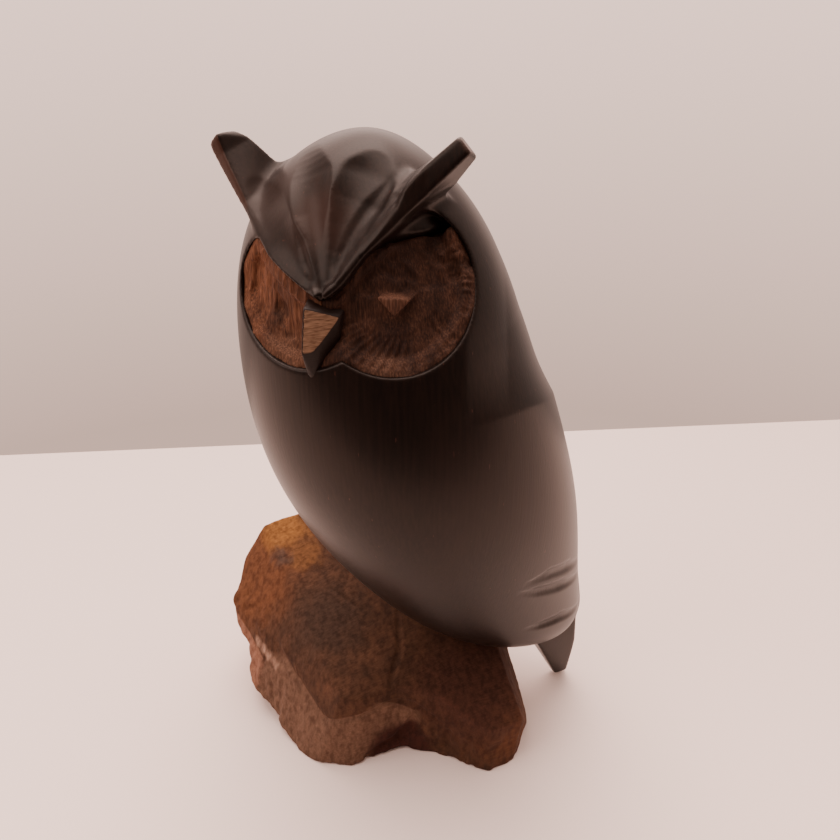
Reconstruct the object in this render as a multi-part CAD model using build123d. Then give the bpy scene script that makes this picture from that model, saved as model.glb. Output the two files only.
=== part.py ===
from build123d import *
from math import cos, radians, sin
import os

# An owl carved in dark hardwood, standing on the rough block of raw wood that
# carries it. The block and the carving are two pieces of wood, held together by
# two hidden dowels. The parts of the carving that are left raw, the two face
# discs and the beak, are solids of their own, seated in pockets of the body.
#
# Millimetres. +Z is up, -Y is the way the breast faces, and the origin is the
# middle of the block's flat underside, which is what the figurine stands on.

# ---- driving dimensions ---------------------------------------------------

# Body: level ovals about the upright plane x = BODY_X.
# Each row is (height, foremost y, rearmost y, half width).
BODY_X = 19.5
BODY_OVALS = [
    (33, 29, 59, 13),
    (42, 10, 60.5, 21),
    (55, -5, 58.5, 26),
    (72, -19, 55.5, 31),
    (95, -33, 50.5, 37),
    (120, -42, 43, 40),
    (142, -45, 34, 38),
    (162, -44, 27, 35),
    (180, -39, 15, 27),
    (193, -28, 4, 16),
    (197.5, -20, -4, 8),
]
CROWN_TOP = (BODY_X, -12, 199)

# Head frame: the face looks along -Y and +X is the owl's left. It stands on an
# upright axis and is turned to the owl's left.
HEAD_AXIS = (BODY_X, -11)
HEAD_TURN = 43

# Brow blade on the owl's left, from the point between the eyes to the ear tuft
BROW_CORNERS = [
    (3, -35, 168),
    (3, -32, 175),
    (14, -28, 178),
    (14, -24, 189),
    (33, -14, 197),
    (27, -13, 200),
    (27, -8, 192),
    (20, -10, 178),
    (0, -16, 170),
]

# Face discs
DISC_RADIUS = 17.5
DISC_CENTRE = (18, -26, 167)
DISC_YAW = 34
POCKET_DEPTH = 8
DISC_THICKNESS = 5.5

# Beak: a wedge whose point is at the chin, and whose back is set into the head
BEAK_CORNERS = [
    (2, -37, 161),
    (0, -35, 149),
    (-4, -32, 167),
    (8, -32, 167),
    (-4, -24, 167),
    (8, -24, 167),
    (-3, -24, 149),
    (3, -24, 149),
]

# Wing-tip notches, three on each flank. A notch is a flat cut, and its turn is
# counted round the body from the breast.
NOTCH_HEIGHTS = (55, 74, 79)
NOTCH_TURN = 118
NOTCH_LENGTH = 40
NOTCH_WIDTH = 2.5
NOTCH_DEPTH = 1.5
NOTCH_BLADE = 10

# Tail: a wedge that reaches down behind the block, just clear of the floor.
# Each row is (height, foremost y, rearmost y, half width).
TAIL_LEVELS = [
    (52, 36, 56.5, 8),
    (41, 36, 58.5, 9),
    (18, 48, 62.3, 5.5),
    (1, 57, 62.5, 2),
]

# Base block: the corners of the split chunk, then the bite out of its front
BLOCK_CORNERS = [
    (-44, -30, 0),
    (-30, -40, 0),
    (12, -40, 0),
    (22, -35, 0),
    (27, -26, 0),
    (48, 14, 0),
    (47, 24, 0),
    (36, 37, 0),
    (6, 44, 0),
    (-24, 42, 0),
    (-42, 22, 0),
    (-46, -36, 28),
    (-31, -47, 32),
    (-38, -40, 45),
    (-38, -32, 57),
    (-36, -18, 60),
    (-14, -47, 11),
    (24, -27, 29),
    (11, 0, 41),
    (19, 14, 42),
    (24, 27, 37),
    (48, 14, 19),
    (48, 26, 18),
    (36, 34, 12),
    (2, 38, 37),
    (-16, 34, 50),
    (-40, 16, 56),
]
BITE_OUTLINE = [
    (27, -26),
    (28, -8),
    (34, 2),
    (40, 4),
    (48, 14),
    (60, 0),
    (40, -40),
]

# Dowels, square to the floor, each across the joint between owl and block
DOWEL_RADIUS = 4
DOWEL_LENGTH = 26
DOWEL_MIDDLES = {"dowel_front": (15, 21, 39), "dowel_rear": (6, 27, 41)}
HOLE_CLEARANCE = 0.05

TALL = 300


# ---- helpers --------------------------------------------------------------


def head_place():
    """Where the head frame stands in the part's frame."""
    return Location((HEAD_AXIS[0], HEAD_AXIS[1], 0), (0, 0, HEAD_TURN))


def mirrored(point, side):
    """A head-frame point on the owl's left (side 1) or right (side -1)."""
    return (point[0] * side, point[1], point[2])


# ---- the carved owl -------------------------------------------------------


def oval(height, front, back, half_width):
    """One level oval of the body, as a face."""
    outline = Ellipse(half_width, (back - front) / 2)
    return Location((BODY_X, (front + back) / 2, height)) * outline


def body_mass():
    """Breast, back and skull as one smooth teardrop."""
    ovals = [oval(*row).face() for row in BODY_OVALS]
    return loft(ovals + [Vertex(*CROWN_TOP)])


def brow(side):
    """One brow blade, ending in its ear tuft."""
    corners = [mirrored(corner, side) for corner in BROW_CORNERS]
    return head_place() * ConvexPolyhedron(corners, align=None)


def disc_plane(side):
    """The middle plane of a face disc, in the head frame, facing outwards."""
    yaw = radians(DISC_YAW)
    return Plane(origin=mirrored(DISC_CENTRE, side), z_dir=(side * sin(yaw), -cos(yaw), 0))


def pocket(side):
    """The round recess cut into one side of the face."""
    bottom = disc_plane(side).offset(-POCKET_DEPTH / 2)
    recess = Cylinder(DISC_RADIUS, TALL, align=(Align.CENTER, Align.CENTER, Align.MIN))
    return head_place() * (bottom * recess)


def face_disc(side, mass):
    """The raw wood at the bottom of one pocket, up to the middle of the face."""
    towards_side = Align.MIN if side > 0 else Align.MAX
    own_half = Box(TALL, TALL, TALL, align=(towards_side, Align.CENTER, Align.MIN))
    above = Box(TALL, TALL, TALL, align=(Align.CENTER, Align.CENTER, Align.MIN))
    front = disc_plane(side).offset(DISC_THICKNESS - POCKET_DEPTH / 2)
    return (pocket(side) & mass & (head_place() * own_half)) - head_place() * (front * above)


def beak():
    """The beak, between the two face discs."""
    return head_place() * ConvexPolyhedron(BEAK_CORNERS, align=None)


def oval_at(height):
    """Foremost y, rearmost y and half width of the body at a height."""
    for lower, upper in zip(BODY_OVALS, BODY_OVALS[1:]):
        if lower[0] <= height <= upper[0]:
            share = (height - lower[0]) / (upper[0] - lower[0])
            return [a + (b - a) * share for a, b in zip(lower[1:], upper[1:])]
    raise ValueError("the body has no oval at this height")


def notch(height, side):
    """The cutter for one notch. The curve of the flank gives it pointed ends."""
    front, back, half_width = oval_at(height)
    half_length = (back - front) / 2
    across = sin(radians(NOTCH_TURN))
    along = -cos(radians(NOTCH_TURN))
    origin = (BODY_X + side * half_width * across, front + half_length * (1 + along), height)
    normal = Vector(side * half_length * across, half_width * along, 0)
    flank = Plane(origin=origin, x_dir=normal.cross(Vector(0, 0, 1)), z_dir=normal)
    blade = Box(NOTCH_LENGTH, NOTCH_WIDTH, NOTCH_BLADE, align=(Align.CENTER, Align.CENTER, Align.MIN))
    return flank.offset(-NOTCH_DEPTH) * blade


def tail():
    """The tail wedge below the rear of the body."""
    corners = []
    for height, front, back, half_width in TAIL_LEVELS:
        for y in (front, back):
            corners.append((BODY_X - half_width, y, height))
            corners.append((BODY_X + half_width, y, height))
    return ConvexPolyhedron(corners, align=None)


# ---- the rough block ------------------------------------------------------


def rough_block():
    """The split chunk of raw wood, before it is fitted to the owl."""
    chunk = ConvexPolyhedron(BLOCK_CORNERS, align=None)
    bite = extrude(make_face(Polyline(*BITE_OUTLINE, close=True)), TALL)
    return chunk - bite


# ---- dowels ---------------------------------------------------------------


def dowel(middle, clearance=0):
    """One dowel, or its hole when a clearance is given."""
    rod = Cylinder(DOWEL_RADIUS + clearance, DOWEL_LENGTH + 2 * clearance)
    return Location(middle) * rod


# ---- assembly -------------------------------------------------------------


def carving():
    """Body, face discs and beak, fitted to each other."""
    mass = body_mass()
    brows = brow(1) + brow(-1)
    beak_solid = beak()
    body = mass - pocket(1) - pocket(-1) + brows + tail() - beak_solid
    for height in NOTCH_HEIGHTS:
        body = body - notch(height, 1) - notch(height, -1)
    discs = {}
    for name, side in (("face_disc_left", 1), ("face_disc_right", -1)):
        discs[name] = face_disc(side, mass) - brows - beak_solid
    return {"owl_body": body, "beak": beak_solid, **discs}


def figurine():
    """Every node of the finished piece, by name."""
    parts = carving()
    owl = parts["owl_body"]
    block = rough_block() - body_mass() - tail()
    for name, middle in DOWEL_MIDDLES.items():
        hole = dowel(middle, HOLE_CLEARANCE)
        owl = owl - hole
        block = block - hole
        parts[name] = dowel(middle)
    parts["owl_body"] = owl
    parts["base_block"] = block
    return parts


os.makedirs("parts", exist_ok=True)
for node, shape in figurine().items():
    export_step(shape, f"parts/{node}.step")
    print(node, len(shape.solids()), round(shape.volume))
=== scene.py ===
from math import ceil, cos, radians, sin

import bmesh
import bpy
import numpy as np
import openvdb
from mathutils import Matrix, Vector


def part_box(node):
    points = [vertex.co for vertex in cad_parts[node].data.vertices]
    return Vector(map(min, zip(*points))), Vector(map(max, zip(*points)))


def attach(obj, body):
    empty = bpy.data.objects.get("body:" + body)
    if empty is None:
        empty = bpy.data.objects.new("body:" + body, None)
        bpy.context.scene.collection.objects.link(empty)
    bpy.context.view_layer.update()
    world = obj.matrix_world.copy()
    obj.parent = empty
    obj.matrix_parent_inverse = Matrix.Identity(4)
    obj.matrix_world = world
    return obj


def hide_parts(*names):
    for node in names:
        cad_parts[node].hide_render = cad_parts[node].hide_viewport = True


# The looks of the carved owl and its block. Every visible piece is sculpted as
# a distance field in millimetres, in the frame of the CAD part, and meshed.

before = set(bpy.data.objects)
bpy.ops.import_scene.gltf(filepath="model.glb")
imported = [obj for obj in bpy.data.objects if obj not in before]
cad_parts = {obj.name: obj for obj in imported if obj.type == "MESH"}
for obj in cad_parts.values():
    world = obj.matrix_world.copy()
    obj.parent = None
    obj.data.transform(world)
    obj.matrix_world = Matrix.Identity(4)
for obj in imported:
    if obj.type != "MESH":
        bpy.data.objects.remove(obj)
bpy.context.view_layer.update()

MM = 0.001
VOXEL = 0.45
FINE_VOXEL = 0.35

# ---- the owl, in millimetres ----------------------------------------------

# Body: the same level ovals as the CAD part (height, front, back, half width),
# and the degrees of the smooth curves through them.
BODY_X = 19.5
BODY_OVALS = [
    (33, 29, 59, 13),
    (42, 10, 60.5, 21),
    (55, -5, 58.5, 26),
    (72, -19, 55.5, 31),
    (95, -33, 50.5, 37),
    (120, -42, 43, 40),
    (142, -45, 34, 38),
    (162, -44, 27, 35),
    (180, -39, 15, 27),
    (193, -28, 4, 16),
    (197.5, -20, -4, 8),
]
MIDDLE_DEGREE = 7
DEPTH_DEGREE = 7
FLATNESS_DEGREE = 4
CROWN_HEIGHT = 199
BODY_FOOT = 33
FOOT_EDGE = 1.5

# Head frame: (towards the owl's left, forwards, up), on an upright axis.
HEAD_AXIS = (BODY_X, -11)
HEAD_TURN = radians(43)

# Horns: each is a bent bar from its tip down the brow to the beak. A row is one
# section, in the head frame: (upper front edge, lower front edge, lower back
# edge, upper back edge).
HORN_LEFT = [
    [(27.4, 12.8, 201), (30.5, 13.8, 198), (30.2, 7.8, 196), (26.2, 7.8, 200.4)],
    [(21.1, 16, 195), (21.7, 17.5, 188.9), (25.8, 7, 190.4), (19.6, 8, 195)],
    [(16, 20.5, 188.8), (16.6, 22, 183.5), (21, 6, 186), (12, 10, 189)],
    [(11.1, 26, 181.1), (10.8, 27.5, 178), (14, 14, 176), (7, 16, 182)],
    [(6.1, 33, 172.3), (7.4, 32, 171), (6, 20, 168), (4, 22, 174)],
    [(4.2, 34.8, 169.8), (5, 34.6, 169), (5, 24, 167), (3, 24, 170)],
]
HORN_RIGHT = [
    [(-31.9, 14, 198.3), (-35, 13.5, 195.3), (-32, 8.5, 195), (-30.1, 9, 198.3)],
    [(-30, 14.6, 194), (-33, 13.8, 192), (-30, 8, 192), (-26.4, 7.6, 196.8)],
    [(-22.3, 18.5, 183.6), (-24.8, 17.5, 183), (-24, 8, 184), (-19.6, 5.4, 190)],
    [(-10.9, 26.2, 175.5), (-12.2, 25.2, 174.4), (-12, 14, 172), (-8, 14, 179)],
    [(3.1, 34.5, 169.4), (2.8, 34, 168.6), (2, 24, 167), (3, 24, 171)],
]
HORN_EDGE = 0.4
HORN_LINK = 0.6
# The fillet between horn and head grows from the beak up to the horn's root.
HORN_BLEND = (0.8, 3)
HORN_BLEND_HEIGHTS = (172, 184)

# Gouges that fan out over the crown from between the eyes. Each row along one
# is a place in the head frame, the cut's half width and its depth.
CROWN_GOUGES = [
    [((-21, 16, 189), 3, 0.3), ((-16.5, 20.5, 184.5), 5.4, 1.1), ((-11.5, 24.5, 181), 5.4, 1.9),
     ((-6.2, 28.4, 177), 4.2, 1.8), ((-1.6, 31.2, 172.8), 2.3, 1.2), ((2.1, 33.8, 170.6), 0.8, 0.3)],
    [((-6.3, 25.9, 182), 0.8, 0.3), ((-4.1, 28.1, 179), 1.4, 1.1), ((-1.9, 29.9, 175.3), 1.4, 1.2),
     ((0.5, 32, 172), 0.7, 0.5)],
    [((-9, 11, 194.5), 3, 0.2), ((-5.6, 17.5, 191), 5.2, 1.4), ((-2.6, 23.8, 185.6), 4.8, 2.5),
     ((0, 27.5, 180.4), 3.4, 2.3), ((1.6, 29.8, 176), 2.1, 1.6), ((3.1, 32.6, 171.7), 0.8, 0.5)],
    [((7.6, 13, 193.8), 4.5, 0.8), ((7.2, 16, 192), 6.2, 2.1), ((6.6, 20.4, 188.4), 5.8, 2.7),
     ((5.6, 24.6, 184), 4.4, 2.6), ((4.7, 28, 178.8), 3, 2), ((4, 31.5, 172.6), 0.9, 0.6)],
    [((12.4, 12, 193), 0.6, 0.1), ((11.4, 16, 190.6), 1.9, 0.9), ((10.2, 19.8, 187.2), 2.8, 2),
     ((7.8, 25, 182.2), 2.3, 2), ((5.8, 28.7, 177.6), 1.6, 1.4), ((4.4, 31.5, 173), 0.7, 0.5)],
    [((18, 13.5, 193), 0.6, 0.05), ((15.4, 18.6, 189), 2.4, 0.9), ((11, 25, 182.8), 2.6, 1.2),
     ((7.6, 29.8, 177), 1.8, 0.9), ((5.3, 33.2, 172), 0.8, 0.3)],
]

# Face recess: two sideways cylinders into the skull. Each row is the turn from
# straight ahead, the rise, the sideways offset, the height, the half width and
# the share of it upwards.
RECESS_LEFT = (radians(32), radians(6.5), 1.5, 166.1, 19.4, 0.96)
RECESS_RIGHT = (radians(1), 0, -4.9, 166.4, 19.2, 0.77)
RECESS_START = 4
RECESS_DEPTH = 8
RECESS_EDGE = 0.8
RECESS_FLOOR_EDGE = 0.5
# Above the raw wood on the owl's left, the recess is shallower by this much.
SHALLOWER = 5
SHALLOWER_FADE = 4

# Lower edge of the brows, above which nothing is cut, as (towards the left, height).
BROW_EDGE = [
    (-40, 195), (-24.8, 183.2), (-12.2, 174.6), (3, 167.4),
    (7.4, 172), (10.8, 177), (16.6, 183.5), (30, 198),
]
BROW_SLOPE = 0.75

# Raw wood of the face: how deep it starts, where the dish begins inside the
# rim, its depth and the width of its slope, and how it goes on falling inwards.
RIM_DEPTH = 1
DISH_RIM = 2.2
DISH_DEPTH = 1.6
DISH_SLOPE = 2
BOWL_FALL = 0.18
BOWL_REACH = 14
FACE_MIDDLE = 3
FACE_OVERLAP = 0.4
FACE_BACK = 0.5
# Lumps of the raw wood, coarse to fine: (height, cell sizes).
FACE_LUMPS = [(0.4, (5, 5, 5)), (0.2, (2, 2, 2.5)), (0.08, (0.9, 0.9, 1.6))]

# Left of the face: tool marks as (half width, depth) at angles, in degrees, round
# the recess and at shares of the way out, a raised chip, and a wedge at the top.
TOOL_AHEAD = 31
SWIRL_SHARES = (0.25, 0.36, 0.47, 0.58, 0.69, 0.78)
SWIRL_ANGLES = range(10, 200, 19)
SWIRL_SIZE = (1.3, 0.8)
FILE_SHARES = (0.84, 1)
FILE_ANGLES = range(-18, 64, 4)
FILE_SIZE = (0.65, 0.8)
TEAR_ANGLES = range(-150, -25, 8)
TEAR_LEAN = 12
TEAR_START = (0.55, 0.6, 0.3)
TEAR_END = (0.9, 1.1, 0.9)
EYE_CHIP = [
    (14, 27.2, 168.6), (21, 23.7, 168), (17.5, 25.4, 164),
    (14, 21, 168.6), (21, 18, 168), (17, 19, 164),
]
CHIP_EDGE = 0.2
CHIP_REACH = 2
LEFT_FACE_TOP = 178.3
LEFT_FACE_PEAK = 7
PEAK_START = 22.5
PEAK_WIDTH = 5
PEAK_FRAY = 0.6
PEAK_FRAY_CELLS = (2, 2, 2)

# Right of the face: upright cuts, then a hollow eye with a crescent under it.
UPRIGHT_PLACES = range(-22, 2, 2)
UPRIGHT_HEIGHTS = (178, 171, 164, 157)
UPRIGHT_AHEAD = 28
UPRIGHT_SIZE = (1.1, 0.4)
EYE_HOLLOW = [((-12.5, 29, 166), 1, 0.6), ((-11, 30, 163), 2.6, 3), ((-10, 30, 160.5), 1.6, 1)]
EYE_CRESCENT = [((-12, 29, 158.5), 0.6, 0.3), ((-9, 30, 156.8), 1, 0.9), ((-6, 30, 157.5), 0.6, 0.3)]

# Beak: corners in the head frame. The first three are on its pale front, and
# the last four are buried in the head.
BEAK_CORNERS = [
    (0.4, 35.2, 167), (7.2, 31.2, 164.4), (3.2, 35.6, 158), (0.5, 37.6, 157.5),
    (6.6, 30, 159.5), (3, 33, 150.5), (1.9, 34, 148.8), (0.3, 35, 151),
    (-2, 27, 168), (7, 26, 166), (5, 27, 151), (0, 28, 150),
]
BEAK_EDGE = 0.3

# Tail: a wedge below the back, as (height, front, back, half width).
TAIL_LEVELS = [(52, 36, 56.5, 8), (41, 36, 58.5, 9), (18, 48, 62.3, 5.5), (1, 57, 62.5, 2)]
TAIL_EDGE = 0.6
TAIL_BLEND = 3
TAIL_REACH = 6

# Crease across the shoulders, above which the neck draws in: two places on the
# owl's left and one in the middle of its back, mirrored to the right. It fades
# out towards the breast and the crown, and NAPE_ROUNDING rounds it on the back.
SHOULDER_POINTS = [(44.8, 28.7, 132), (57.9, 1.8, 137), (19.5, 40, 120)]
NECK_DRAW_IN = 1.9
NECK_LENGTH = 14
NECK_FRONT = 20
NECK_FRONT_SLOPE = 0.4
NECK_FRONT_FADE = 12
NECK_TOP = 185
NECK_TOP_FADE = 30
NAPE_ROUNDING = 6

# Wing notches on the owl's left flank, mirrored to the right one: four places
# along each, the (half width, depth) there, and the steeper cut at the foot.
NOTCHES = [
    [(52.8, 20.5, 78.6), (50.4, 29.5, 77.8), (44, 40, 73), (32, 50, 65)],
    [(52, 18.9, 75.3), (49.5, 27.4, 71.8), (45, 36.9, 67.6), (32, 52, 59)],
    [(45.2, 26.1, 54.5), (44, 32.5, 53), (41.5, 41, 51), (30, 54, 44)],
]
NOTCH_SIZES = [(0.3, 0.2), (1.9, 0.9), (2.3, 1.2), (0.5, 0.2)]
NOTCH_WALL_DROP = 1.1
NOTCH_WALL_SIZES = [(0.3, 0.2), (0.8, 0.4), (1, 0.6), (0.4, 0.1)]

# ---- the block, in millimetres --------------------------------------------

# Corners of the rough mass, and the plans of what is missing at its front.
BLOCK_CORNERS = [
    (-44, -30, 0), (-30, -40, 0), (12, -40, 0), (22, -35, 0), (27, -26, 0),
    (48, 14, 0), (47, 24, 0), (36, 37, 0), (6, 44, 0), (-24, 42, 0), (-42, 22, 0),
    (-46, -36, 28), (-31, -47, 32), (-38, -40, 45), (-38, -32, 57), (-36, -18, 60),
    (-14, -47, 11), (24, -27, 29), (11, 0, 41), (19, 14, 42), (24, 27, 37), (48, 14, 19),
    (48, 26, 18), (36, 34, 12), (2, 38, 37), (-16, 34, 50), (-40, 16, 56),
]
BLOCK_EDGE = 0.4
BITES = [
    [(27, -27), (28, -8), (34, 2), (60, 10), (60, -40), (32, -40)],
    [(33, -4), (34, 2), (40, 4), (48, 14), (60, 8), (60, -10)],
]
BITE_HEIGHTS = (-10, 90)
BITE_EDGE = 1

# Roughness of the block: lumps, how strong they are everywhere, what is added
# low down and on the torn left end, and where those two begin.
BLOCK_LUMPS = [(0.7, (9, 9, 9)), (0.4, (3.5, 3.5, 5)), (0.25, (1.5, 1.5, 3))]
LUMP_SHARE = 0.25
LOW_SHARE = 0.5
TORN_SHARE = 1.1
LOW_HEIGHT = 26
LOW_FADE = 12
TORN_FRONT = -18
TORN_SLOPE = 0.5
TORN_FADE = 8
TORN_SIDE = 10
BLOCK_SHRINK = 0.1
SEAT_CLEARANCE = 0.4

# Cracks and creases between the block's facets: (place, half width, depth).
BLOCK_CRACKS = [
    [((-7.4, -18.4, 46.7), 0.5, 0.3), ((-2.3, -15, 44.7), 0.7, 1.2), ((3.8, -11.3, 43), 0.5, 0.3)],
    [((-8.7, -38, 29.6), 1.5, 0.4), ((6, -35, 23), 2, 0.9), ((19, -31, 17), 2, 0.8)],
    [((19, -31, 17), 1, 0.6), ((26.7, -13, 24), 1, 0.6), ((30, -4, 22), 1, 0.5), ((34, 3, 15), 0.8, 0.3)],
    [((9, -0.5, 42), 1, 0.3), ((19.4, -4.4, 35.7), 1.5, 0.8), ((26.6, -13, 25.2), 1, 0.5)],
    [((27, -20, 2), 1.6, 1.5), ((28, -9, 6), 2.5, 2.5), ((28.9, -4.5, 12), 2.5, 2.5), ((31, -3, 20), 1, 0.6)],
    [((36, 4, 4), 1.6, 1.6), ((37, 5, 12), 1.6, 1.6)],
    [((42, 8, 2), 1.4, 1.2), ((43, 9, 9), 1.4, 1.2), ((44, 10, 16), 0.8, 0.5)],
]

# ---- finishes -------------------------------------------------------------

# Tone stops are (noise value, colour). Patches are (centre, inner radius, outer
# radius, fray, colour), in millimetres, and those of the head in its frame.
FRAY_CELLS = (4, 4, 7)

FIBRE_TONES = [(0.35, (0.0045, 0.0027, 0.0022)), (0.7, (0.011, 0.0055, 0.004))]
WARMTH_TONES = [(0.45, (0, 0, 0)), (0.75, (0.8, 0.8, 0.8))]
WARM_WOOD = (0.014, 0.0068, 0.005)
# The first two patches are painted sheen: paler wood where the flute of the owl's right horn and the middle
# of the crown catch the light. The third is the raw brown wood at the tip of the owl's left horn.
PAINTED_SHEEN_AND_TIP_PATCHES = [
    ((-17, 19, 188), 3, 14, 3, (0.03, 0.02, 0.017)),
    ((-1, 24, 184), 2, 11, 8, (0.022, 0.0085, 0.0055)),
    ((30, 11, 199.5), 1, 3.5, 3, (0.045, 0.019, 0.011)),
]
HORN_STRIP = ((-30, 14, 192), 10, 15, 3, (0.042, 0.017, 0.011))
PORE_TONES = [(0.76, (0, 0, 0)), (0.79, (0.8, 0.8, 0.8))]
PORE_COLOUR = (0.05, 0.018, 0.012)

# Streaks of the owl's left face: darker wood with painted shade on it, as that face is turned away from the
# light.
DARK_AND_SHADED_STREAKS = ((0.024, 0.01, 0.006), (0.046, 0.018, 0.0095), (0.088, 0.038, 0.021))
WARM_STREAKS = ((0.045, 0.018, 0.009), (0.1, 0.036, 0.016), (0.17, 0.072, 0.037))
STREAK_STOPS = (0.3, 0.5, 0.72)
SHADE_TONES = [(0.35, (0.5, 0.45, 0.42)), (0.6, (1.1, 1.1, 1.1))]
# Here the colour is what the streaks are multiplied by.
FACE_FRAY = 3
LEFT_PATCHES = [
    ((20, 22, 176), 3, 9, (0.5, 0.45, 0.45)),
    ((18, 26, 158), 2, 7, (0.55, 0.5, 0.5)),
    ((20.5, 24, 171.5), 1, 4.5, (1.6, 1.6, 1.6)),
    ((17.5, 26, 166.5), 3, 5, (2, 2.2, 2.4)),
    ((16, 27, 150), 3, 8, (1.9, 2.2, 2.4)),
    ((29, 12, 178), 4, 7, (1.9, 2, 2.1)),
]
RIGHT_PATCHES = [
    ((-20, 25, 170), 4, 12, (1.3, 1.25, 1.2)),
    ((-8, 31, 152), 3, 9, (1, 1.15, 1.3)),
    # Painted shade in the hollow eye: the streaks there are darkened to about a third.
    ((-10.5, 29, 162), 1.5, 4.5, (0.35, 0.35, 0.35)),
]
LEFT_GRAIN_TURN = (0.3, 0.9, 0)
RIGHT_GRAIN_TURN = (0, 0.15, 0)

BEAK_GRAIN_TURN = (0, 0.35, HEAD_TURN)
BEAK_TONES = [(0.3, (0.1, 0.05, 0.028)), (0.7, (0.3, 0.17, 0.1))]
BEAK_DARK = (0.012, 0.005, 0.003)

BLOCK_GRAIN_TURN = (0.5, 0.2, 0.6)
HEARTWOOD_TONES = [(0.35, (0.042, 0.019, 0.01)), (0.65, (0.07, 0.031, 0.016))]
BLOCK_TONES = [
    ((0, -22, 38), 5, 20, 12, (0.04, 0.021, 0.013)),
    ((36, 16, 26), 10, 28, 12, (0.043, 0.016, 0.009)),
    ((40, 24, 8), 4, 18, 12, (0.08, 0.03, 0.013)),
    ((-32, -36, 42), 12, 25, 14, (0.1, 0.038, 0.016)),
    ((-34, -26, 57), 4, 12, 10, (0.2, 0.083, 0.021)),
    ((-22, -22, 52), 3, 8, 8, (0.12, 0.05, 0.018)),
    ((-25, -30, 51), 1, 5, 9, (0.06, 0.034, 0.024)),
    ((-36, -42, 34), 1, 5, 9, (0.08, 0.048, 0.032)),
]
# Paler facets along the foot, then the torn left end: three points of the plane
# that they lie below, a centre, a reach, its fade and fray, and a softness.
LOWER_FACE_COLOUR = (0.105, 0.057, 0.036)
TORN_COLOUR = (0.19, 0.09, 0.056)
LOWER_FACES = [
    ([(-8.7, -38, 29.6), (19.1, -31.1, 17.2), (-30, -10, 8)], (10, -40, 8), 22, 3, 4, 0.4, LOWER_FACE_COLOUR),
    ([(17, -33, 16.5), (26.7, -13, 24), (0, 0, 18)], (24, -26, 8), 15, 3, 4, 0.4, LOWER_FACE_COLOUR),
    ([(26.7, -13, 24), (33.6, 2.4, 15), (0, 0, 22)], (27, -13, 15), 9, 3, 4, 0.4, LOWER_FACE_COLOUR),
    ([(-31, -47, 31), (-11, -43, 21), (-30, -30, 14)], (-34, -48, 16), 22, 4, 6, 0.5, TORN_COLOUR),
]
# A pinkish sliver on the left end, and the dark red wood inside the bite.
SLIVER_PLACES = [(-16, -42.5, 25), (-12.5, -41.5, 24), (-9, -41, 23.2), (-5.5, -40, 22.4)]
SLIVER_COLOUR = (0.25, 0.15, 0.105)
TOP_TONES = [(place, 0.6, 2.6, 2.5, SLIVER_COLOUR) for place in SLIVER_PLACES]
TOP_TONES.append(((30, -9, 3), 8, 13, 5, (0.035, 0.01, 0.006)))
BLOCK_FIBRES = [(0.3, (0.82, 0.79, 0.77)), (0.52, (1, 1, 1)), (0.72, (1.18, 1.18, 1.18))]
BLOCK_SPECKS = [(0.36, (0.8, 0.75, 0.72)), (0.5, (1.15, 1.15, 1.15)), (0.66, (1.42, 1.42, 1.42))]

DOWEL_COLOUR = (0.45, 0.28, 0.14, 1)

# ---- stage, in metres -----------------------------------------------------

CAMERA_PLACE = (0.2101, -0.0861, 0.231)
CAMERA_TURN = (radians(62), 0, radians(65))
CAMERA_LENS = 36.09
CAMERA_SENSOR = 36
CAMERA_CLIP = 0.01

# Lights: (name, place, target, size, power).
LIGHTS = [
    ("overhead", (-0.05, 0, 0.75), (0, 0, 0.1), 0.6, 5.5),
    ("left", (0.05, -0.5, 0.55), (0, 0, 0.12), 0.4, 1.8),
]
LIGHT_COLOUR = (1, 0.84, 0.78)

# Floor: the way it runs away from the camera, and how far it reaches.
FLOOR_TURN = radians(70)
FLOOR_BEHIND = 0.185
FLOOR_IN_FRONT = 0.2
FLOOR_HALF_WIDTH = 1
FLOOR_COLOUR = (0.9, 0.755, 0.69, 1)

# Room: its colour low down, then each (rise it starts at and is full at, colour).
ROOM_LOW = (0.85, 0.57, 0.47)
ROOM_LEVELS = [
    (-0.45, 0.1, (2, 1.38, 1.18)),
    (0, 0.25, (1.1, 0.8, 0.7)),
]
# Patches of the room: (direction, where it starts and is full, colour).
ROOM_PATCHES = [
    ((0.35, 0.93, -0.1), 0.5, 0.9, (0.8, 0.58, 0.5)),
    ((-0.64, 0.27, 0.72), 0.72, 0.93, (4.5, 3.3, 2.9)),
    ((0.75, -0.35, -0.56), 0.02, 0.42, (0.2, 0.14, 0.122)),
]


# ---- fields ---------------------------------------------------------------

GRID_MARGIN = 4
SMALLEST_FACE = 0.01
GOUGE_STEPS = 4
SURFACE_ROUNDS = 4
SLOPE_REACH = 2
NO_LENGTH = 1e-9
NO_SLOPE = 1e-3
HASH_STEPS = (12.9898, 78.233, 37.719)
HASH_SEED = 19.19
HASH_GAIN = 43758.5453


class Grid:
    """Sample points as three open axes, in millimetres."""

    def __init__(self, axes, voxel):
        self.voxel = voxel
        self.axes = axes
        self.x = axes[0][:, None, None]
        self.y = axes[1][None, :, None]
        self.z = axes[2][None, None, :]
        self.points = (self.x, self.y, self.z)

    def around(self, places, reach):
        """The grid's slices within reach of some places, and the grid there."""
        low = np.min(places, axis=0) - reach
        high = np.max(places, axis=0) + reach
        slices = tuple(slice(*np.searchsorted(axis, ends))
                       for axis, ends in zip(self.axes, zip(low, high)))
        return slices, Grid([axis[cut] for axis, cut in zip(self.axes, slices)], self.voxel)


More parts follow.
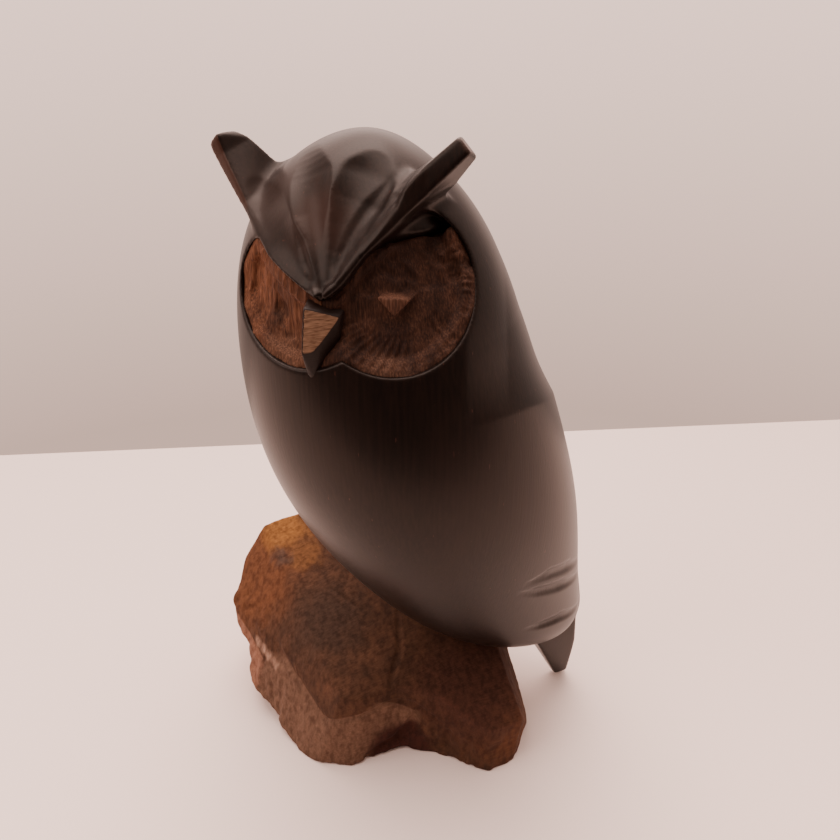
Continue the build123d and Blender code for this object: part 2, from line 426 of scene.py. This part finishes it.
def grid_over(node, voxel, margin=0.0):
    """A grid that covers one CAD node, with some room around it."""
    axes = []
    for low, high in zip(*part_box(node)):
        start = low / MM - margin - GRID_MARGIN * voxel
        count = ceil(((high - low) / MM + 2 * margin) / voxel) + 2 * GRID_MARGIN
        axes.append(start + voxel * np.arange(count, dtype=np.float32))
    return Grid(axes, voxel)


def pairs(items):
    """Each item with the next one."""
    return list(zip(items, items[1:]))


def join(a, b, blend):
    """Union of two fields, filleted over the given length."""
    share = np.clip(0.5 + 0.5 * (b - a) / blend, 0, 1)
    return b + (a - b) * share - blend * share * (1 - share)


def overlap(a, b, blend):
    """Intersection of two fields, with the edge eased over the given length."""
    return -join(-a, -b, blend)


def carve(a, b, blend):
    """Field a less field b, with the edge eased over the given length."""
    return -join(-a, b, blend)


def hull_planes(corners):
    """Outward planes (normal, offset) of the convex hull of some corners."""
    shell = bmesh.new()
    for corner in corners:
        shell.verts.new(corner)
    bmesh.ops.convex_hull(shell, input=shell.verts)
    shell.normal_update()
    middle = Vector(np.mean(corners, axis=0))
    planes = []
    for face in shell.faces:
        normal = face.normal.normalized()
        offset = normal.dot(face.verts[0].co)
        if normal.dot(middle) > offset:
            normal, offset = -normal, -offset
        if face.calc_area() > SMALLEST_FACE:
            planes.append((tuple(normal), offset))
    shell.free()
    return planes


def hull(grid, corners, edge):
    """Field of a convex solid, with its edges eased over the given length."""
    result = None
    for normal, offset in hull_planes(corners):
        side = sum(p * n for p, n in zip(grid.points, normal)) - offset
        result = side if result is None else overlap(result, side, edge)
    return result


def upward_plane(points):
    """The upward normal of the plane through three points, and its offset."""
    a, b, c = (Vector(point) for point in points)
    normal = (b - a).cross(c - a).normalized()
    normal = normal if normal.z > 0 else -normal
    return normal, normal.dot(a)


def from_segment(grid, start, end):
    """Share of the way along a segment, and the distance from it."""
    axis = np.subtract(end, start)
    length = float(np.dot(axis, axis)) + NO_LENGTH
    offsets = [p - s for p, s in zip(grid.points, start)]
    along = np.clip(sum(o * a for o, a in zip(offsets, axis)) / length, 0, 1)
    return along, np.sqrt(sum((o - a * along) ** 2 for o, a in zip(offsets, axis)))


def surface_at(grid, field, place):
    """The point of a field's surface nearest a place."""
    place = np.array(place, float)
    for _ in range(SURFACE_ROUNDS):
        index = [int(np.clip(round((value - axis[0]) / grid.voxel), SLOPE_REACH,
                             len(axis) - 1 - SLOPE_REACH))
                 for value, axis in zip(place, grid.axes)]
        slope = []
        for direction in range(3):
            ahead, behind = list(index), list(index)
            ahead[direction] += SLOPE_REACH
            behind[direction] -= SLOPE_REACH
            slope.append((field[tuple(ahead)] - field[tuple(behind)]) / (2 * SLOPE_REACH * grid.voxel))
        slope = np.array(slope, float)
        centre = np.array([axis[i] for axis, i in zip(grid.axes, index)])
        value = field[tuple(index)] + slope @ (place - centre)
        place = place - slope * value / (slope @ slope + NO_LENGTH)
    return place


def drawn_over(grid, field, stations):
    """A gouge's stations, closer together and laid on a field's surface."""
    line = []
    for (start, w0, d0), (end, w1, d1) in pairs(stations):
        for step in range(GOUGE_STEPS + 1):
            share = step / GOUGE_STEPS
            place = surface_at(grid, field, np.array(start) * (1 - share) + np.array(end) * share)
            line.append((place, w0 + (w1 - w0) * share, d0 + (d1 - d0) * share))
    return line


def cut_gouge(grid, field, stations):
    """Sinks a groove with crisp edges along the surface of a field, in place."""
    line = drawn_over(grid, field, stations)
    widest = max(width for _, width, _ in line)
    slices, part = grid.around([place for place, _, _ in line], widest + grid.voxel)
    sink = np.zeros_like(field[slices])
    for (start, w0, d0), (end, w1, d1) in pairs(line):
        cut, near_by = part.around([start, end], max(w0, w1))
        along, distance = from_segment(near_by, start, end)
        profile = 1 - (distance / (w0 + (w1 - w0) * along)) ** 2
        sink[cut] = np.maximum(sink[cut], (d0 + (d1 - d0) * along) * profile)
    field[slices] += sink


def softened(field):
    """The field with its sharpest edges worn off."""
    for axis in range(3):
        field = (np.roll(field, 1, axis) + 2 * field + np.roll(field, -1, axis)) / 4
    return field


def scatter(grid, cell, seed):
    """Smooth random values between -1 and 1, in cells of the given sizes."""
    weights = []
    corners = []
    for axis, size in zip(grid.axes, cell):
        place = axis / size
        low = np.floor(place).astype(int)
        share = place - low
        share = share * share * (3 - 2 * share)
        rows = np.arange(len(axis))
        table = np.zeros((len(axis), low[-1] - low[0] + 2), np.float32)
        table[rows, low - low[0]] = 1 - share
        table[rows, low - low[0] + 1] = share
        weights.append(table)
        corners.append(np.arange(low[0], low[-1] + 2, dtype=float))
    i, j, k = np.meshgrid(*corners, indexing="ij")
    lattice = i * HASH_STEPS[0] + j * HASH_STEPS[1] + k * HASH_STEPS[2] + seed * HASH_SEED
    lattice = np.sin(lattice) * HASH_GAIN
    lattice = (2 * (lattice - np.floor(lattice)) - 1).astype(np.float32)
    for table in weights:
        lattice = np.tensordot(lattice, table, axes=(0, 1))
    return lattice


def lumps(grid, layers, seed):
    """Layers of scatter, each (height, cell sizes), added up."""
    return sum(height * scatter(grid, cell, seed + i) for i, (height, cell) in enumerate(layers))


def from_head(place):
    """A place in the head frame, in the part's frame."""
    left, ahead, height = place
    return (HEAD_AXIS[0] + left * cos(HEAD_TURN) + ahead * sin(HEAD_TURN),
            HEAD_AXIS[1] + left * sin(HEAD_TURN) - ahead * cos(HEAD_TURN),
            height)


def leftwards(grid):
    """How far each point is towards the owl's left, in the head frame."""
    return (grid.x - HEAD_AXIS[0]) * cos(HEAD_TURN) + (grid.y - HEAD_AXIS[1]) * sin(HEAD_TURN)


# ---- the owl's field ------------------------------------------------------


def body_curves():
    """Smooth curves for the body's middle line, half depth and flatness."""
    height, front, back, half_width = np.array(BODY_OVALS, float).T
    fit = np.polynomial.Chebyshev.fit
    middle = fit(height, (front + back) / 2, MIDDLE_DEGREE)
    half_depth = (back - front) / 2
    depth_squared = fit(np.append(height, CROWN_HEIGHT), np.append(half_depth ** 2, 0), DEPTH_DEGREE)
    flatness = fit(height, (half_width / half_depth) ** 2, FLATNESS_DEGREE)
    return middle, depth_squared, flatness


def body_mass(grid):
    """Signed distance, near the surface, to the smooth mass of the owl."""
    z = grid.axes[2].astype(float)
    values = []
    slopes = []
    for curve in body_curves():
        values.append(curve(z).astype(np.float32)[None, None, :])
        slopes.append(curve.deriv()(z).astype(np.float32)[None, None, :])
    middle, depth_squared, flatness = values
    across = (grid.x - BODY_X) ** 2 / flatness
    deep = grid.y - middle
    value = across + deep ** 2 - depth_squared
    slope_x = 2 * (grid.x - BODY_X) / flatness
    slope_y = 2 * deep
    slope_z = -across * slopes[2] / flatness - 2 * deep * slopes[0] - slopes[1]
    return value / np.sqrt(slope_x ** 2 + slope_y ** 2 + slope_z ** 2 + NO_SLOPE)


def neck_draw_in(grid):
    """How far the neck draws in above the crease across both shoulders."""
    normal, offset = upward_plane(SHOULDER_POINTS)
    flank = BODY_X + np.sqrt((grid.x - BODY_X) ** 2 + NAPE_ROUNDING ** 2)
    height = flank * normal.x + grid.y * normal.y + grid.z * normal.z - offset
    behind = np.clip((grid.y + NECK_FRONT_SLOPE * flank - NECK_FRONT) / NECK_FRONT_FADE, 0, 1)
    rise = np.sin(radians(90) * np.clip(height / NECK_LENGTH, 0, 1))
    return NECK_DRAW_IN * rise * behind * np.clip((NECK_TOP - grid.z) / NECK_TOP_FADE, 0, 1)


def recess_frame(shape):
    """The middle of one recess and its directions: across, up and ahead."""
    turn, rise, offset, height = shape[:4]
    axis = Vector(from_head((0, 0, height)))
    across = Vector(from_head((cos(turn), -sin(turn), height))) - axis
    ahead = Vector(from_head((sin(turn), cos(turn), height))) - axis
    ahead = ahead * cos(rise) + Vector((0, 0, sin(rise)))
    return axis + across * offset, across, ahead.cross(across), ahead


def recess(grid, shape):
    """Field of one sideways elliptical cylinder of the face recess."""
    centre, across, up, ahead = recess_frame(shape)
    half_width, upwards = shape[4:]
    offsets = [p - c for p, c in zip(grid.points, centre)]
    u, v, w = (sum(o * a for o, a in zip(offsets, d)) for d in (across, up, ahead))
    return np.maximum(np.sqrt(u ** 2 + (v / upwards) ** 2) - half_width, RECESS_START - w)


def face_recess(grid):
    """Field of the whole face recess, which stops at the brows."""
    places, heights = np.array(BROW_EDGE, np.float32).T
    brow = np.interp(leftwards(grid), places, heights).astype(np.float32)
    both = np.minimum(recess(grid, RECESS_LEFT), recess(grid, RECESS_RIGHT))
    return np.maximum(both, (grid.z - brow) * BROW_SLOPE)


def on_recess(shape, angle, share):
    """A place in front of a recess: at an angle round it, a share of the way out."""
    centre, across, up, ahead = recess_frame(shape)
    half_width, upwards = shape[4:]
    reach = share * half_width
    return tuple(centre + across * reach * cos(angle) + up * reach * upwards * sin(angle)
                 + ahead * TOOL_AHEAD)


def tail_corners():
    """The corners of the tail wedge."""
    corners = []
    for height, front, back, half_width in TAIL_LEVELS:
        for y in (front, back):
            corners.append((BODY_X - half_width, y, height))
            corners.append((BODY_X + half_width, y, height))
    return corners


def bar(grid, sections):
    """Field of a bent bar, given by its sections in the head frame."""
    result = None
    for start, end in pairs(sections):
        link = hull(grid, [from_head(corner) for corner in start + end], HORN_EDGE)
        result = link if result is None else join(result, link, HORN_LINK)
    return result


def cut_notches(grid, field):
    """The wing notches, in place: each slopes in gently to a steep lower wall."""
    for side in (1, -1):
        for row in NOTCHES:
            for drop, sizes in ((0, NOTCH_SIZES), (NOTCH_WALL_DROP, NOTCH_WALL_SIZES)):
                stations = [((BODY_X + side * (x - BODY_X), y, z - drop), *size)
                            for (x, y, z), size in zip(row, sizes)]
                cut_gouge(grid, field, stations)


def owl_field(grid):
    """The polished carving."""
    mass = body_mass(grid)
    field = overlap(mass + neck_draw_in(grid), BODY_FOOT - grid.z, FOOT_EDGE)
    shallower = np.clip((grid.z - LEFT_FACE_TOP) / SHALLOWER_FADE + 0.5, 0, 1)
    floor = -mass - (RECESS_DEPTH - SHALLOWER * shallower)
    field = carve(field, overlap(face_recess(grid), floor, RECESS_FLOOR_EDGE), RECESS_EDGE)
    for sections in (HORN_LEFT, HORN_RIGHT):
        corners = [from_head(corner) for section in sections for corner in section]
        slices, part = grid.around(corners, HORN_BLEND[1] + 3 * grid.voxel)
        blend = np.interp(part.z, HORN_BLEND_HEIGHTS, HORN_BLEND).astype(np.float32)
        field[slices] = join(field[slices], bar(part, sections), blend)
    for stations in CROWN_GOUGES:
        cut_gouge(grid, field, [(from_head(place), width, depth) for place, width, depth in stations])
    slices, part = grid.around(tail_corners(), TAIL_REACH)
    field[slices] = join(field[slices], hull(part, tail_corners(), TAIL_EDGE), TAIL_BLEND)
    cut_notches(grid, field)
    return softened(field)


# ---- the face's fields ----------------------------------------------------


def raw_face_field(grid, seed):
    """Raw wood that lines the face recess: a rim, then a dish."""
    rim = -face_recess(grid)
    dish = np.clip((rim - DISH_RIM) / DISH_SLOPE, 0, 1)
    depth = RIM_DEPTH + DISH_DEPTH * dish * dish * (3 - 2 * dish) + BOWL_FALL * np.clip(rim, 0, BOWL_REACH)
    return body_mass(grid) + depth + lumps(grid, FACE_LUMPS, seed)


def trimmed_to_recess(grid, field, side):
    """The raw wood's field, cut to one side of the recess that it lines."""
    field = np.maximum(field, face_recess(grid) - FACE_OVERLAP)
    field = np.maximum(field, -body_mass(grid) - RECESS_DEPTH - FACE_BACK)
    return np.maximum(field, side * (FACE_MIDDLE - leftwards(grid)))


def left_face(grid):
    """Swept cuts round a raised chip, file marks by the rim, a torn ledge."""
    field = raw_face_field(grid, 3)
    for share in SWIRL_SHARES:
        arc = [(on_recess(RECESS_LEFT, radians(angle), share), *SWIRL_SIZE) for angle in SWIRL_ANGLES]
        cut_gouge(grid, field, arc)
    for angle in FILE_ANGLES:
        stroke = [(on_recess(RECESS_LEFT, radians(angle), share), *FILE_SIZE) for share in FILE_SHARES]
        cut_gouge(grid, field, stroke)
    for angle in TEAR_ANGLES:
        stroke = [(on_recess(RECESS_LEFT, radians(turn), share), width, depth)
                  for turn, (share, width, depth) in ((angle, TEAR_START), (angle - TEAR_LEAN, TEAR_END))]
        cut_gouge(grid, field, stroke)
    chip = [from_head(corner) for corner in EYE_CHIP]
    slices, part = grid.around(chip, CHIP_REACH)
    field[slices] = np.minimum(field[slices], hull(part, chip, CHIP_EDGE))
    top = LEFT_FACE_TOP + LEFT_FACE_PEAK * np.clip((leftwards(grid) - PEAK_START) / PEAK_WIDTH, 0, 1)
    field = np.maximum(field, grid.z - top + PEAK_FRAY * scatter(grid, PEAK_FRAY_CELLS, 5))
    return trimmed_to_recess(grid, field, 1)


def right_face(grid):
    """Upright cuts round a small hollow eye."""
    field = raw_face_field(grid, 7)
    for left in UPRIGHT_PLACES:
        stroke = [(from_head((left, UPRIGHT_AHEAD, height)), *UPRIGHT_SIZE) for height in UPRIGHT_HEIGHTS]
        cut_gouge(grid, field, stroke)
    for stations in (EYE_HOLLOW, EYE_CRESCENT):
        cut_gouge(grid, field, [(from_head(place), width, depth) for place, width, depth in stations])
    return trimmed_to_recess(grid, field, -1)


def beak_field(grid):
    """The beak, as a cut wedge."""
    return hull(grid, [from_head(corner) for corner in BEAK_CORNERS], BEAK_EDGE)


# ---- the block's field ----------------------------------------------------


def block_field(grid):
    """The torn chunk of raw wood, fitted to the owl that sits on it."""
    chunk = hull(grid, BLOCK_CORNERS, BLOCK_EDGE)
    for outline in BITES:
        prism = [(x, y, z) for x, y in outline for z in BITE_HEIGHTS]
        chunk = carve(chunk, hull(grid, prism, BITE_EDGE), BITE_EDGE)
    low = np.clip((LOW_HEIGHT - grid.z) / LOW_FADE, 0, 1)
    torn = (np.clip((TORN_FRONT - grid.y - TORN_SLOPE * grid.z) / TORN_FADE, 0, 1)
            * np.clip((TORN_SIDE - grid.x) / TORN_SIDE, 0, 1))
    strength = LUMP_SHARE + LOW_SHARE * low + TORN_SHARE * torn
    chunk = chunk + BLOCK_SHRINK + lumps(grid, BLOCK_LUMPS, 1) * strength
    for stations in BLOCK_CRACKS:
        cut_gouge(grid, chunk, stations)
    chunk = np.maximum(chunk, -grid.z)
    return np.maximum(chunk, -body_mass(grid) - SEAT_CLEARANCE)


# ---- meshes ---------------------------------------------------------------

FIELD_LIMIT = 3


def sculpted(name, grid, field):
    """A closed mesh of the field's zero surface."""
    limit = FIELD_LIMIT * grid.voxel
    for axis in range(3):
        for end in (0, -1):
            np.moveaxis(field, axis, 0)[end] = limit
    volume = openvdb.FloatGrid(background=limit)
    volume.copyFromArray(np.ascontiguousarray(np.clip(field, -limit, limit), np.float32))
    places, quads = volume.convertToQuads(isovalue=0.0)
    origin = np.array([axis[0] for axis in grid.axes])
    mesh = bpy.data.meshes.new(name)
    mesh.from_pydata(((places * grid.voxel + origin) * MM).tolist(), [], quads[:, ::-1].tolist())
    mesh.shade_smooth()
    piece = bpy.data.objects.new(name, mesh)
    bpy.context.scene.collection.objects.link(piece)
    return piece


def stand_in(piece, node, material):
    """Rides piece on the part in place of a CAD node, in that finish."""
    piece.data.materials.append(material)
    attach(piece, "root")
    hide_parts(node)


# ---- shader nodes ---------------------------------------------------------


def new_material(name):
    """A material with its nodes, its links and its Principled shader."""
    material = bpy.data.materials.new(name)
    material.use_nodes = True
    nodes = material.node_tree.nodes
    return material, nodes, material.node_tree.links, nodes["Principled BSDF"]


def grain(nodes, links, spacing, detail=3.0, turn=(0, 0, 0)):
    """A noise value whose cells have the given sizes in millimetres."""
    place = nodes.new("ShaderNodeTexCoord")
    mapping = nodes.new("ShaderNodeMapping")
    mapping.inputs["Rotation"].default_value = turn
    mapping.inputs["Scale"].default_value = [1 / (size * MM) for size in spacing]
    texture = nodes.new("ShaderNodeTexNoise")
    texture.inputs["Scale"].default_value = 1
    texture.inputs["Detail"].default_value = detail
    links.new(place.outputs["Object"], mapping.inputs["Vector"])
    links.new(mapping.outputs["Vector"], texture.inputs["Vector"])
    return texture.outputs["Fac"]


def tones(nodes, links, value, stops):
    """A colour that runs through (value, colour) stops."""
    ramp = nodes.new("ShaderNodeValToRGB")
    elements = ramp.color_ramp.elements
    while len(elements) < len(stops):
        elements.new(1)
    for element, (position, colour) in zip(elements, stops):
        element.position = position
        element.color = (*colour, 1)
    links.new(value, ramp.inputs["Fac"])
    return ramp.outputs["Color"]


def blended(nodes, links, share, first, second, mode="MIX"):
    """Two colours mixed by a share, each given as a socket or as a colour."""
    mix = nodes.new("ShaderNodeMix")
    mix.data_type = "RGBA"
    mix.blend_type = mode
    for socket, source in ((mix.inputs[0], share), (mix.inputs[6], first), (mix.inputs[7], second)):
        if isinstance(source, bpy.types.NodeSocket):
            links.new(source, socket)
        elif isinstance(source, tuple):
            socket.default_value = (*source, 1)
        else:
            socket.default_value = source
    return mix.outputs[2]


def multiplied(nodes, links, first, second):
    """Two colours multiplied."""
    return blended(nodes, links, 1.0, first, second, "MULTIPLY")


def relief(nodes, links, shader, value, depth):
    """Roughens a surface by a value, to a depth in millimetres."""
    bump = nodes.new("ShaderNodeBump")
    bump.inputs["Strength"].default_value = 1
    bump.inputs["Distance"].default_value = depth * MM
    links.new(value, bump.inputs["Height"])
    links.new(bump.outputs["Normal"], shader.inputs["Normal"])


def fading(nodes, links, value, start, end):
    """A value turned into a share: 1 up to the start, and 0 from the end on."""
    fall = nodes.new("ShaderNodeMapRange")
    fall.interpolation_type = "SMOOTHSTEP"
    fall.inputs["From Min"].default_value = start
    fall.inputs["From Max"].default_value = end
    fall.inputs["To Min"].default_value = 1
    fall.inputs["To Max"].default_value = 0
    links.new(value, fall.inputs["Value"])
    return fall.outputs["Result"]


def near(nodes, links, centre, inner, outer, fray):
    """A share that falls from 1 to 0 between two distances from a place, in mm."""
    place = nodes.new("ShaderNodeTexCoord")
    distance = nodes.new("ShaderNodeVectorMath")
    distance.operation = "DISTANCE"
    distance.inputs[1].default_value = [value * MM for value in centre]
    links.new(place.outputs["Object"], distance.inputs[0])
    frayed = nodes.new("ShaderNodeMath")
    frayed.operation = "MULTIPLY_ADD"
    frayed.inputs[1].default_value = fray * MM
    links.new(grain(nodes, links, FRAY_CELLS, 4), frayed.inputs[0])
    links.new(distance.outputs["Value"], frayed.inputs[2])
    return fading(nodes, links, frayed.outputs[0], (inner + fray / 2) * MM, (outer + fray / 2) * MM)


def facing(nodes, links, direction, start, end):
    """A share that rises where the surface faces a direction."""
    place = nodes.new("ShaderNodeTexCoord")
    towards = nodes.new("ShaderNodeVectorMath")
    towards.operation = "DOT_PRODUCT"
    towards.inputs[1].default_value = Vector(direction).normalized()
    links.new(place.outputs["Normal"], towards.inputs[0])
    return fading(nodes, links, towards.outputs["Value"], end, start)


def product(nodes, links, first, second):
    """One share times another."""
    times = nodes.new("ShaderNodeMath")
    times.operation = "MULTIPLY"
    links.new(first, times.inputs[0])
    links.new(second, times.inputs[1])
    return times.outputs[0]


def below_plane(nodes, links, points, soft):
    """A share that is 1 below the plane through three points, in millimetres."""
    normal, offset = upward_plane(points)
    place = nodes.new("ShaderNodeTexCoord")
    height = nodes.new("ShaderNodeVectorMath")
    height.operation = "DOT_PRODUCT"
    height.inputs[1].default_value = normal
    links.new(place.outputs["Object"], height.inputs[0])
    return fading(nodes, links, height.outputs["Value"], offset * MM - soft * MM, offset * MM + soft * MM)


def facet_normal(*corners):
    """The forward normal of a facet through three places in the head frame."""
    a, b, c = (Vector(from_head(corner)) for corner in corners)
    ahead = Vector(from_head((0, 1, 0))) - Vector(from_head((0, 0, 0)))
    normal = (b - a).cross(c - a).normalized()
    return normal if normal.dot(ahead) > 0 else -normal


# ---- materials ------------------------------------------------------------


def polished_wood():
    """Near-black heartwood under a satin polish, with brown grain and pores, and painted sheen on the crown
    and in the flute of the owl's right horn.
    """
    material, nodes, links, shader = new_material("polished_heartwood")
    wood = tones(nodes, links, grain(nodes, links, (0.8, 0.8, 18)), FIBRE_TONES)
    warmth = tones(nodes, links, grain(nodes, links, (26, 26, 45)), WARMTH_TONES)
    wood = blended(nodes, links, warmth, wood, WARM_WOOD)
    for centre, inner, outer, fray, colour in PAINTED_SHEEN_AND_TIP_PATCHES:
        wood = blended(nodes, links, near(nodes, links, from_head(centre), inner, outer, fray), wood, colour)
    centre, inner, outer, fray, colour = HORN_STRIP
    front = facet_normal(HORN_RIGHT[0][0], HORN_RIGHT[0][1], HORN_RIGHT[2][1])
    strip = product(nodes, links, near(nodes, links, from_head(centre), inner, outer, fray),
                    facing(nodes, links, front, 0.75, 0.9))
    wood = blended(nodes, links, strip, wood, colour)
    pores = tones(nodes, links, grain(nodes, links, (0.9, 0.9, 5), 1.0), PORE_TONES)
    links.new(blended(nodes, links, pores, wood, PORE_COLOUR), shader.inputs["Base Color"])
    shader.inputs["Roughness"].default_value = 0.34
    shader.inputs["Specular IOR Level"].default_value = 0.2
    shader.inputs["Specular Tint"].default_value = (1, 0.86, 0.78, 1)
    relief(nodes, links, shader, grain(nodes, links, (0.5, 0.5, 9)), 0.02)
    return material


def raw_face_wood(name, streak_colours, turn, patches):
    """Unpolished red-brown heartwood, rough from the tool, with patches of lighter and darker tone, painted
    shade among them.
    """
    material, nodes, links, shader = new_material(name)
    streaks = tones(nodes, links, grain(nodes, links, (0.35, 0.35, 4), 5, turn),
                    list(zip(STREAK_STOPS, streak_colours)))
    shade = tones(nodes, links, grain(nodes, links, (4, 4, 7), 4), SHADE_TONES)
    wood = multiplied(nodes, links, streaks, shade)
    for centre, inner, outer, gain in patches:
        share = near(nodes, links, from_head(centre), inner, outer, FACE_FRAY)
        wood = blended(nodes, links, share, wood, multiplied(nodes, links, streaks, gain))
    links.new(wood, shader.inputs["Base Color"])
    shader.inputs["Roughness"].default_value = 0.75
    shader.inputs["Specular IOR Level"].default_value = 0.2
    relief(nodes, links, shader, grain(nodes, links, (0.4, 0.4, 3), 5, turn), 0.2)
    return material


def beak_wood():
    """A pale sawn front on a dark polished beak."""
    material, nodes, links, shader = new_material("beak_wood")
    pale = tones(nodes, links, grain(nodes, links, (0.5, 5, 0.3), 3, BEAK_GRAIN_TURN), BEAK_TONES)
    front = facing(nodes, links, facet_normal(*BEAK_CORNERS[:3]), 0.93, 0.97)
    links.new(blended(nodes, links, front, BEAK_DARK, pale), shader.inputs["Base Color"])
    shader.inputs["Roughness"].default_value = 0.5
    shader.inputs["Specular IOR Level"].default_value = 0.25
    relief(nodes, links, shader, grain(nodes, links, (0.4, 4, 0.3), 3, BEAK_GRAIN_TURN), 0.05)
    return material


def raw_block_wood():
    """Split and weathered wood: dark heartwood with a patch of sapwood."""
    material, nodes, links, shader = new_material("raw_block_wood")
    wood = tones(nodes, links, grain(nodes, links, (5, 5, 12), 4), HEARTWOOD_TONES)
    for centre, inner, outer, fray, colour in BLOCK_TONES:
        wood = blended(nodes, links, near(nodes, links, centre, inner, outer, fray), wood, colour)
    for points, centre, reach, fade, fray, soft, colour in LOWER_FACES:
        share = product(nodes, links, near(nodes, links, centre, reach, reach + fade, fray),
                        below_plane(nodes, links, points, soft))
        wood = blended(nodes, links, share, wood, colour)
    for centre, inner, outer, fray, colour in TOP_TONES:
        wood = blended(nodes, links, near(nodes, links, centre, inner, outer, fray), wood, colour)
    fibres = tones(nodes, links, grain(nodes, links, (0.3, 4, 0.7), 5, BLOCK_GRAIN_TURN), BLOCK_FIBRES)
    specks = tones(nodes, links, grain(nodes, links, (1.6, 1.6, 3), 9), BLOCK_SPECKS)
    wood = multiplied(nodes, links, multiplied(nodes, links, wood, fibres), specks)
    links.new(wood, shader.inputs["Base Color"])
    shader.inputs["Roughness"].default_value = 0.85
    shader.inputs["Specular IOR Level"].default_value = 0.2
    relief(nodes, links, shader, grain(nodes, links, (1, 1.4, 2), 9, BLOCK_GRAIN_TURN), 0.25)
    return material


def dowel_wood():
    """Plain pale wood."""
    material, _, _, shader = new_material("dowel_wood")
    shader.inputs["Base Color"].default_value = DOWEL_COLOUR
    shader.inputs["Roughness"].default_value = 0.7
    return material


def floor_card():
    """Matt pale card."""
    material, _, _, shader = new_material("pale_card")
    shader.inputs["Base Color"].default_value = FLOOR_COLOUR
    shader.inputs["Roughness"].default_value = 0.9
    return material


# ---- the pieces -----------------------------------------------------------

FACE_ROOM = 7
BEAK_ROOM = 1


def make_owl():
    """The polished owl, in place of the body."""
    grid = grid_over("owl_body", VOXEL)
    owl = sculpted("owl", grid, owl_field(grid))
    stand_in(owl, "owl_body", polished_wood())


def make_face():
    """The two raw sides of the face and the beak."""
    for side, shaped, finish in (
            ("left", left_face, (DARK_AND_SHADED_STREAKS, LEFT_GRAIN_TURN, LEFT_PATCHES)),
            ("right", right_face, (WARM_STREAKS, RIGHT_GRAIN_TURN, RIGHT_PATCHES))):
        node = "face_disc_" + side
        grid = grid_over(node, FINE_VOXEL, FACE_ROOM)
        stand_in(sculpted("raw_face_" + side, grid, shaped(grid)), node,
                 raw_face_wood("raw_wood_" + side, *finish))
    grid = grid_over("beak", FINE_VOXEL, BEAK_ROOM)
    stand_in(sculpted("carved_beak", grid, beak_field(grid)), "beak", beak_wood())


def make_block():
    """The rough block, in place of the base block."""
    grid = grid_over("base_block", VOXEL)
    block = sculpted("block", grid, block_field(grid))
    stand_in(block, "base_block", raw_block_wood())


def finish_dowels():
    """The dowels keep their CAD shape and only get a finish."""
    material = dowel_wood()
    for name in ("dowel_front", "dowel_rear"):
        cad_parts[name].data.materials.clear()
        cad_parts[name].data.materials.append(material)


# ---- the stage ------------------------------------------------------------


def add_camera():
    """The camera, at the photograph's viewing angle."""
    data = bpy.data.cameras.new("camera")
    data.lens = CAMERA_LENS
    data.sensor_width = CAMERA_SENSOR
    data.clip_start = CAMERA_CLIP
    camera = bpy.data.objects.new("camera", data)
    camera.location = CAMERA_PLACE
    camera.rotation_euler = CAMERA_TURN
    bpy.context.scene.collection.objects.link(camera)
    bpy.context.scene.camera = camera


def add_light(name, place, target, size, power):
    """A square soft light, aimed at a target."""
    data = bpy.data.lights.new(name, "AREA")
    data.size = size
    data.energy = power
    data.color = LIGHT_COLOUR
    light = bpy.data.objects.new(name, data)
    light.location = place
    light.rotation_euler = (Vector(target) - Vector(place)).to_track_quat("-Z", "Y").to_euler()
    bpy.context.scene.collection.objects.link(light)


def add_floor():
    """The pale floor, from a little in front of the owl to the fold behind it."""
    away = Vector((-sin(FLOOR_TURN), cos(FLOOR_TURN), 0))
    side = Vector((cos(FLOOR_TURN), sin(FLOOR_TURN), 0)) * FLOOR_HALF_WIDTH
    corners = [away * reach + side * across for reach, across in
               ((-FLOOR_IN_FRONT, -1), (-FLOOR_IN_FRONT, 1), (FLOOR_BEHIND, 1), (FLOOR_BEHIND, -1))]
    mesh = bpy.data.meshes.new("floor")
    mesh.from_pydata(corners, [], [(0, 1, 2, 3)])
    mesh.materials.append(floor_card())
    floor = bpy.data.objects.new("floor", mesh)
    bpy.context.scene.collection.objects.link(floor)


def add_room():
    """Pale surroundings, brighter high up behind the owl and dark low in front of it."""
    world = bpy.data.worlds.new("room")
    world.use_nodes = True
    nodes = world.node_tree.nodes
    links = world.node_tree.links
    place = nodes.new("ShaderNodeTexCoord")
    split = nodes.new("ShaderNodeSeparateXYZ")
    links.new(place.outputs["Generated"], split.inputs[0])
    room = ROOM_LOW
    for start, end, colour in ROOM_LEVELS:
        rise = nodes.new("ShaderNodeMapRange")
        rise.inputs["From Min"].default_value = start
        rise.inputs["From Max"].default_value = end
        links.new(split.outputs["Z"], rise.inputs["Value"])
        room = blended(nodes, links, rise.outputs["Result"], room, colour)
    for direction, start, full, colour in ROOM_PATCHES:
        towards = nodes.new("ShaderNodeVectorMath")
        towards.operation = "DOT_PRODUCT"
        towards.inputs[1].default_value = Vector(direction).normalized()
        links.new(place.outputs["Generated"], towards.inputs[0])
        share = fading(nodes, links, towards.outputs["Value"], full, start)
        room = blended(nodes, links, share, room, colour)
    links.new(room, nodes["Background"].inputs["Color"])
    bpy.context.scene.world = world


make_owl()
make_face()
make_block()
finish_dowels()

add_camera()
add_floor()
add_room()
for light in LIGHTS:
    add_light(*light)
